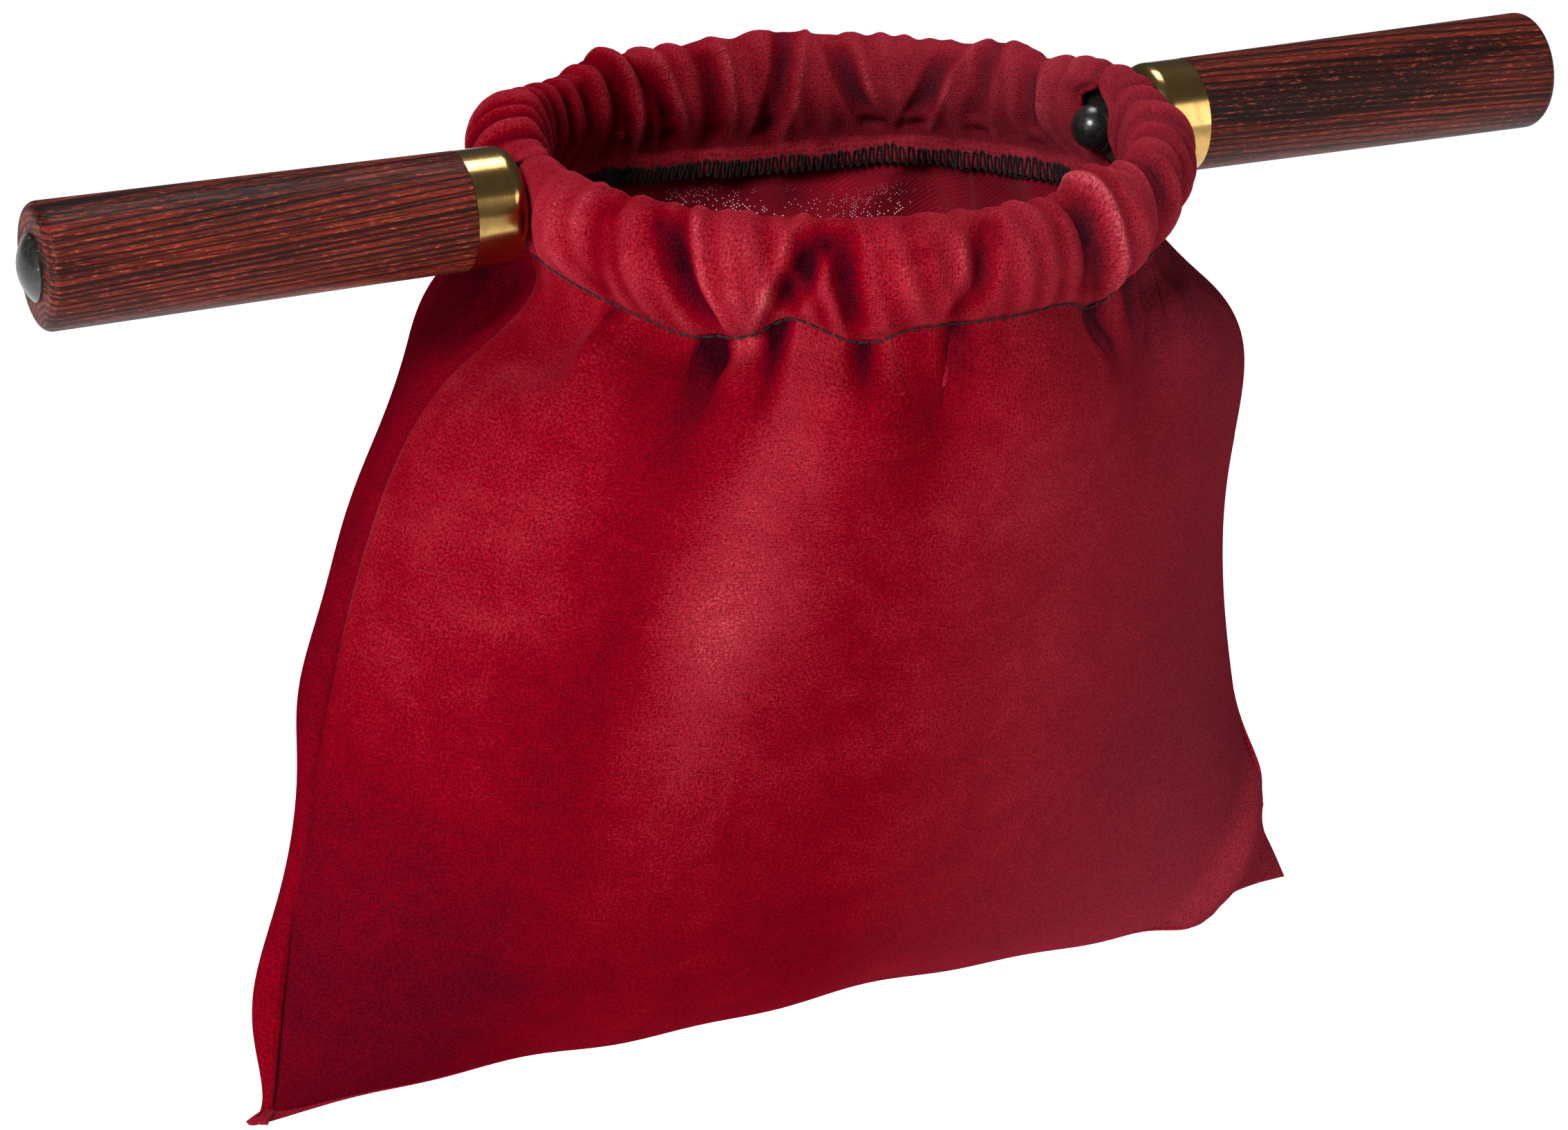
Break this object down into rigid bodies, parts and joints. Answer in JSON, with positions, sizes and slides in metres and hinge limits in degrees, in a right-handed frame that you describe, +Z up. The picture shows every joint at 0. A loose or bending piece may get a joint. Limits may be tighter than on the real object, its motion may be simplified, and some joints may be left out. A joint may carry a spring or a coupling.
{
  "type": "offering bag",
  "caption": "Velvet offering bag gathered on a flat steel hoop, held by two turned wooden handles with brass ferrules that are bolted to the hoop and turn about their bolts.",
  "frame": {"origin": "centre of the steel hoop, on the common axis of the two handles, halfway up the band", "axes": "+X along the handles' axis towards the right handle, +Z up out of the bag's mouth with the bag hanging down -Z, +Y from the front panel to the back panel"},
  "size_m": [0.3894, 0.1592, 0.2333],
  "materials": {
    "velvet": "short-pile crimson velvet with a soft sheen",
    "thread": "matt black sewing thread",
    "wood": "dark red-brown open-grained hardwood under satin varnish",
    "brass": "plain drawn brass, polished and lightly brushed round",
    "black_steel": "thin black finish, worn bright at edges"
  },
  "bodies": {
    "bag": {"hoop": "black_steel", "front_panel": "velvet", "back_panel": "velvet", "left_side_seam": "velvet", "right_side_seam": "velvet", "bottom_seam": "velvet", "front_topstitch": "thread", "back_topstitch": "thread", "front_overlock": "thread", "back_overlock": "thread"},
    "left_handle": {"left_grip": "wood", "left_ferrule": "brass", "left_bolt": "black_steel", "left_dome_nut": "black_steel", "left_lock_washer": "black_steel"},
    "right_handle": {"right_grip": "wood", "right_ferrule": "brass", "right_bolt": "black_steel", "right_dome_nut": "black_steel", "right_lock_washer": "black_steel"}
  },
  "joints": [
    {"name": "left_handle_turn", "type": "hinge", "parent": "bag", "child": "left_handle", "pos_m": [-0.0732, 0, 0], "axis": [-1, 0, 0], "continuous": true},
    {"name": "right_handle_turn", "type": "hinge", "parent": "bag", "child": "right_handle", "pos_m": [0.0732, 0, 0], "axis": [1, 0, 0], "continuous": true}
  ]
}
